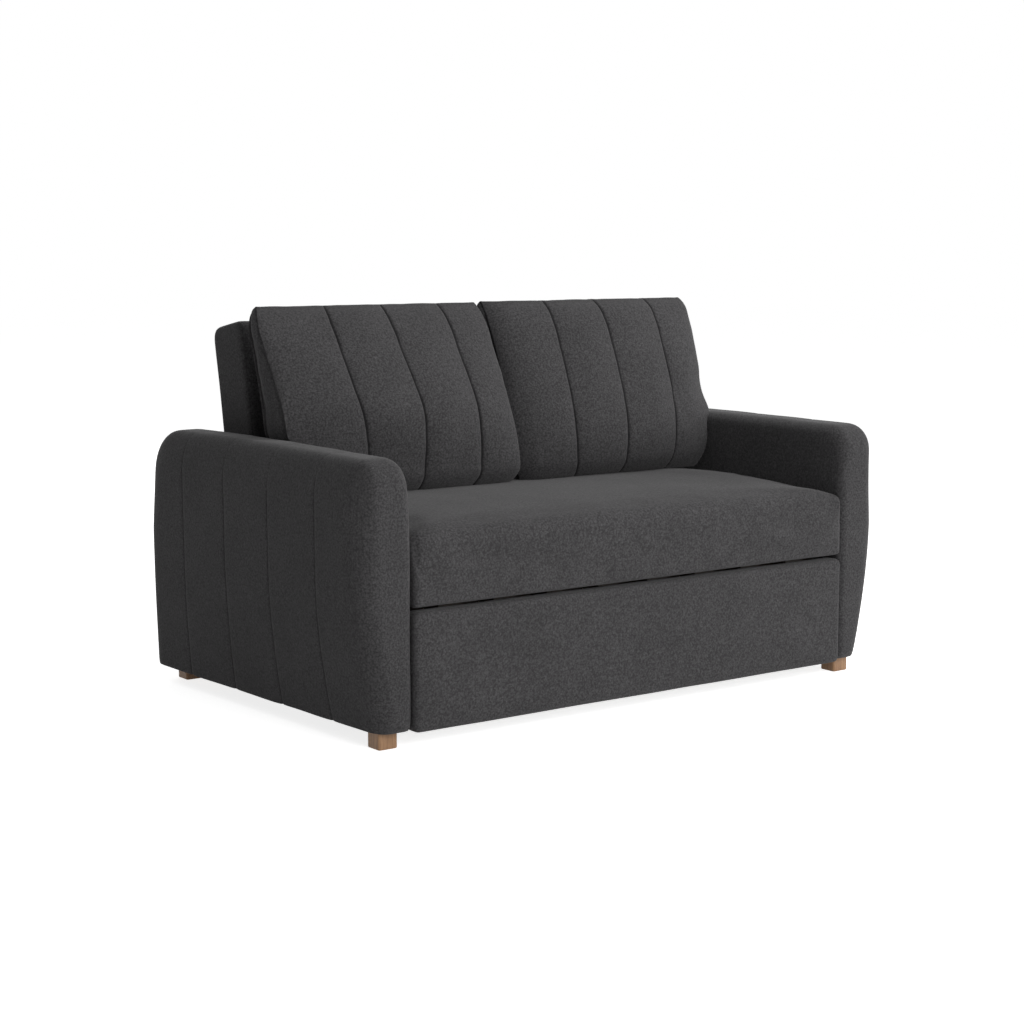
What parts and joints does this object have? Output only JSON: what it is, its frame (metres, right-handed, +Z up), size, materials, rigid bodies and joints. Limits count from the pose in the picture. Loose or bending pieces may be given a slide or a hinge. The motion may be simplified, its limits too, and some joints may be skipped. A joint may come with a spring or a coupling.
{
  "type": "sleeper loveseat",
  "caption": "Two-seat sofa bed with padded channelled arms, a bench seat cushion, loose back cushions, a sliding slatted front and a reclining backrest.",
  "frame": {"origin": "on the floor, at the middle of the sofa's overall width and depth", "axes": "+X runs across the seat, to the right of a person who faces the sofa's front; +Y runs from the front to the back; +Z is up"},
  "size_m": [1.462, 0.95, 0.89],
  "materials": {
    "charcoal_tweed": "matte",
    "foam": "matte",
    "pillow_fill": "matte",
    "oiled_wood": "satin",
    "frame_timber": "matte",
    "slat_wood": "satin",
    "hardboard": "matte",
    "plywood": "matte",
    "felt_pad": "matte",
    "webbing": "matte",
    "black_steel": "satin",
    "bright_steel": "satin",
    "castor_rubber": "matte"
  },
  "bodies": {
    "base": {"left_arm_cover": "charcoal_tweed", "right_arm_cover": "charcoal_tweed", "left_arm_foam": "foam", "right_arm_foam": "foam", "left_arm_frame": "frame_timber", "right_arm_frame": "frame_timber", "arm_panels": "hardboard", "left_front_foot": "oiled_wood", "right_front_foot": "oiled_wood", "left_rear_foot": "oiled_wood", "right_rear_foot": "oiled_wood", "foot_bolts": "bright_steel", "front_beam": "frame_timber", "rear_beam": "frame_timber", "slat_pads": "felt_pad", "fixed_slats": "slat_wood", "fixed_slat_screws": "bright_steel", "beam_brackets": "black_steel", "bracket_screws": "bright_steel", "arm_bolts": "bright_steel", "left_runner": "black_steel", "right_runner": "black_steel", "rear_panel_cover": "charcoal_tweed", "rear_panel_board": "plywood", "rear_cleats": "frame_timber", "left_hinge_plate": "black_steel", "right_hinge_plate": "black_steel", "hinge_bolts": "bright_steel", "pivot_pins": "bright_steel", "seat_cushion_cover": "charcoal_tweed", "seat_cushion_foam": "foam"},
    "pull_out": {"front_panel_cover": "charcoal_tweed", "front_panel_board": "plywood", "front_cleat": "frame_timber", "tie_bar": "frame_timber", "sliding_slats": "slat_wood", "sliding_slat_screws": "bright_steel", "left_side_rail": "frame_timber", "right_side_rail": "frame_timber", "cross_rail": "frame_timber", "left_castor_fork": "black_steel", "right_castor_fork": "black_steel", "castor_axles": "bright_steel", "castor_screws": "bright_steel"},
    "left_castor_wheel": {"left_wheel": "castor_rubber"},
    "right_castor_wheel": {"right_wheel": "castor_rubber"},
    "backrest": {"back_cover": "charcoal_tweed", "back_foam": "foam", "back_stiles": "frame_timber", "back_rails": "frame_timber", "back_webbing": "webbing", "left_back_lever": "black_steel", "right_back_lever": "black_steel", "lever_bolts": "bright_steel", "stop_pins": "bright_steel", "ratchet_drums": "black_steel"},
    "left_pillow": {"left_pillow_cover": "charcoal_tweed", "left_pillow_core": "pillow_fill"},
    "right_pillow": {"right_pillow_cover": "charcoal_tweed", "right_pillow_core": "pillow_fill"}
  },
  "joints": [
    {"name": "front_slide", "type": "slide", "parent": "base", "child": "pull_out", "axis": [0, -1, 0], "range_m": [0, 0.52]},
    {"name": "left_wheel_roll", "type": "hinge", "parent": "pull_out", "child": "left_castor_wheel", "pos_m": [-0.594, -0.325, 0.025], "axis": [1, 0, 0], "range_deg": [0, 1192]},
    {"name": "right_wheel_roll", "type": "hinge", "parent": "pull_out", "child": "right_castor_wheel", "pos_m": [0.594, -0.325, 0.025], "axis": [1, 0, 0], "range_deg": [0, 1192]},
    {"name": "back_recline", "type": "hinge", "parent": "base", "child": "backrest", "pos_m": [0, 0.219, 0.38], "axis": [-1, 0, 0], "range_deg": [0, 80]},
    {"name": "left_pillow_lift", "type": "slide", "parent": "base", "child": "left_pillow", "axis": [0, 0, 1], "range_m": [0, 0.45]},
    {"name": "right_pillow_lift", "type": "slide", "parent": "base", "child": "right_pillow", "axis": [0, 0, 1], "range_m": [0, 0.45]}
  ],
  "couplings": [
    {"joint": "left_wheel_roll", "follows": "front_slide", "rad_per_m": 40},
    {"joint": "right_wheel_roll", "follows": "front_slide", "rad_per_m": 40}
  ]
}
